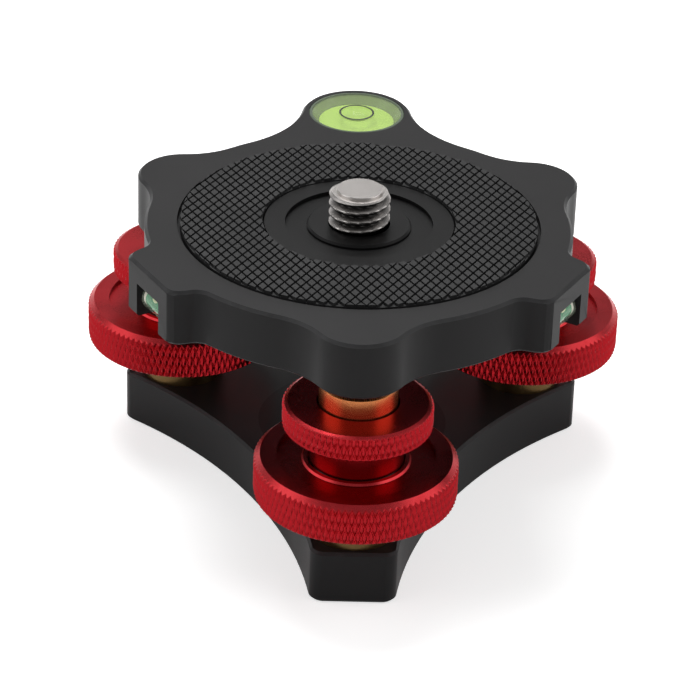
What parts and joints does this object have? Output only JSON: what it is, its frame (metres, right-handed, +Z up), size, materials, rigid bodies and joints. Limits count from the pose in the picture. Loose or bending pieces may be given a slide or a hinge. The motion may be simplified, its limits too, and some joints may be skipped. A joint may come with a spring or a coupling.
{
  "type": "leveling base",
  "caption": "Tripod leveling base: three knurled wheels on threaded studs tilt a round camera plate with a screw, a rubber pad and spirit levels.",
  "frame": {"origin": "centre of the tripod thread at the base's underside", "axes": "+Z up along the tripod thread, +Y towards the round level, +X to the right seen from the leg at the front"},
  "size_m": [0.0862, 0.0967, 0.0501],
  "materials": {
    "black_anodised": "satin black anodised aluminium",
    "red_anodised": "bright red anodised aluminium",
    "bronze": "turned bearing bronze",
    "copper": "copper coloured plating, turned",
    "black_nylon": "black nylon",
    "white_nylon": "natural acetal",
    "steel": "turned stainless steel",
    "ring_steel": "zinc plated steel",
    "pad_rubber": "moulded black rubber",
    "level_clear": "clear acrylic",
    "level_liquid": "yellow-green liquid",
    "level_backing": "bright yellow-green plastic",
    "tube_clear": "clear acrylic",
    "tube_liquid": "green liquid"
  },
  "bodies": {
    "base": {"base_plate": "black_anodised", "tripod_bush": "bronze", "bearing_bushes": "bronze", "thrust_washers": "black_nylon"},
    "seat_1": {"ball_seat_1": "white_nylon"},
    "seat_2": {"ball_seat_2": "white_nylon"},
    "plate": {"ball_seat_3": "white_nylon", "top_plate": "black_anodised", "ball_retainers": "ring_steel", "rubber_pad": "pad_rubber", "centre_collar": "black_anodised", "camera_screw": "steel", "screw_ring": "black_anodised", "bullseye_body": "level_clear", "bullseye_fluid": "level_liquid", "bullseye_backing": "level_backing", "tube_vials": "tube_clear", "tube_fluids": "tube_liquid", "tube_caps": "white_nylon"},
    "wheel_1": {"adjusting_wheel_1": "red_anodised", "wheel_retainer_1": "ring_steel"},
    "stud_1": {"stud_1": "copper"},
    "lock_washer_1": {"lock_washer_1": "black_nylon"},
    "lock_wheel_1": {"lock_wheel_1": "red_anodised"},
    "wheel_2": {"adjusting_wheel_2": "red_anodised", "wheel_retainer_2": "ring_steel"},
    "stud_2": {"stud_2": "copper"},
    "lock_washer_2": {"lock_washer_2": "black_nylon"},
    "lock_wheel_2": {"lock_wheel_2": "red_anodised"},
    "wheel_3": {"adjusting_wheel_3": "red_anodised", "wheel_retainer_3": "ring_steel"},
    "stud_3": {"stud_3": "copper"},
    "lock_washer_3": {"lock_washer_3": "black_nylon"},
    "lock_wheel_3": {"lock_wheel_3": "red_anodised"}
  },
  "joints": [
    {"name": "wheel_spin_1", "type": "hinge", "parent": "base", "child": "wheel_1", "pos_m": [0, -0.032, 0.0153], "axis": [0, 0, 1], "range_deg": [-1081, 721]},
    {"name": "stud_slide_1", "type": "slide", "parent": "base", "child": "stud_1", "axis": [0, 0, 1], "range_m": [-0.002, 0.003]},
    {"name": "lock_turn_1", "type": "hinge", "parent": "wheel_1", "child": "lock_washer_1", "pos_m": [0, -0.032, 0.01945], "axis": [0, 0, 1], "range_deg": [0, 181]},
    {"name": "lock_rise_1", "type": "slide", "parent": "lock_washer_1", "child": "lock_wheel_1", "axis": [0, 0, 1], "range_m": [0, 0.0005]},
    {"name": "wheel_spin_2", "type": "hinge", "parent": "base", "child": "wheel_2", "pos_m": [0.02771, 0.016, 0.0153], "axis": [0, 0, 1], "range_deg": [-1081, 721]},
    {"name": "stud_slide_2", "type": "slide", "parent": "base", "child": "stud_2", "axis": [0, 0, 1], "range_m": [-0.002, 0.003]},
    {"name": "lock_turn_2", "type": "hinge", "parent": "wheel_2", "child": "lock_washer_2", "pos_m": [0.02771, 0.016, 0.01945], "axis": [0, 0, 1], "range_deg": [0, 181]},
    {"name": "lock_rise_2", "type": "slide", "parent": "lock_washer_2", "child": "lock_wheel_2", "axis": [0, 0, 1], "range_m": [0, 0.0005]},
    {"name": "wheel_spin_3", "type": "hinge", "parent": "base", "child": "wheel_3", "pos_m": [-0.02771, 0.016, 0.0153], "axis": [0, 0, 1], "range_deg": [-1081, 721]},
    {"name": "stud_slide_3", "type": "slide", "parent": "base", "child": "stud_3", "axis": [0, 0, 1], "range_m": [-0.002, 0.003]},
    {"name": "lock_turn_3", "type": "hinge", "parent": "wheel_3", "child": "lock_washer_3", "pos_m": [-0.02771, 0.016, 0.01945], "axis": [0, 0, 1], "range_deg": [0, 181]},
    {"name": "lock_rise_3", "type": "slide", "parent": "lock_washer_3", "child": "lock_wheel_3", "axis": [0, 0, 1], "range_m": [0, 0.0005]},
    {"name": "plate_tilt_1", "type": "hinge", "parent": "base", "child": "seat_1", "pos_m": [0, 0.016, 0.0394], "axis": [-1, 0, 0], "range_deg": [-2.4, 3.6]},
    {"name": "plate_tilt_2", "type": "hinge", "parent": "seat_1", "child": "seat_2", "pos_m": [-0.01386, -0.008, 0.0394], "axis": [0.5, -0.866, 0], "range_deg": [-2.4, 3.6]},
    {"name": "plate_tilt_3", "type": "hinge", "parent": "seat_2", "child": "plate", "pos_m": [0.01386, -0.008, 0.0394], "axis": [0.5, 0.866, 0], "range_deg": [-2.4, 3.6]}
  ],
  "couplings": [
    {"joint": "wheel_spin_1", "follows": "stud_slide_1", "rad_per_m": -6283.2},
    {"joint": "lock_turn_1", "follows": "lock_rise_1", "rad_per_m": 6283.2},
    {"joint": "wheel_spin_2", "follows": "stud_slide_2", "rad_per_m": -6283.2},
    {"joint": "lock_turn_2", "follows": "lock_rise_2", "rad_per_m": 6283.2},
    {"joint": "wheel_spin_3", "follows": "stud_slide_3", "rad_per_m": -6283.2},
    {"joint": "lock_turn_3", "follows": "lock_rise_3", "rad_per_m": 6283.2},
    {"joint": "plate_tilt_1", "follows": "stud_slide_1", "rad_per_m": 20.833},
    {"joint": "plate_tilt_2", "follows": "stud_slide_2", "rad_per_m": 20.833},
    {"joint": "plate_tilt_3", "follows": "stud_slide_3", "rad_per_m": 20.833}
  ]
}
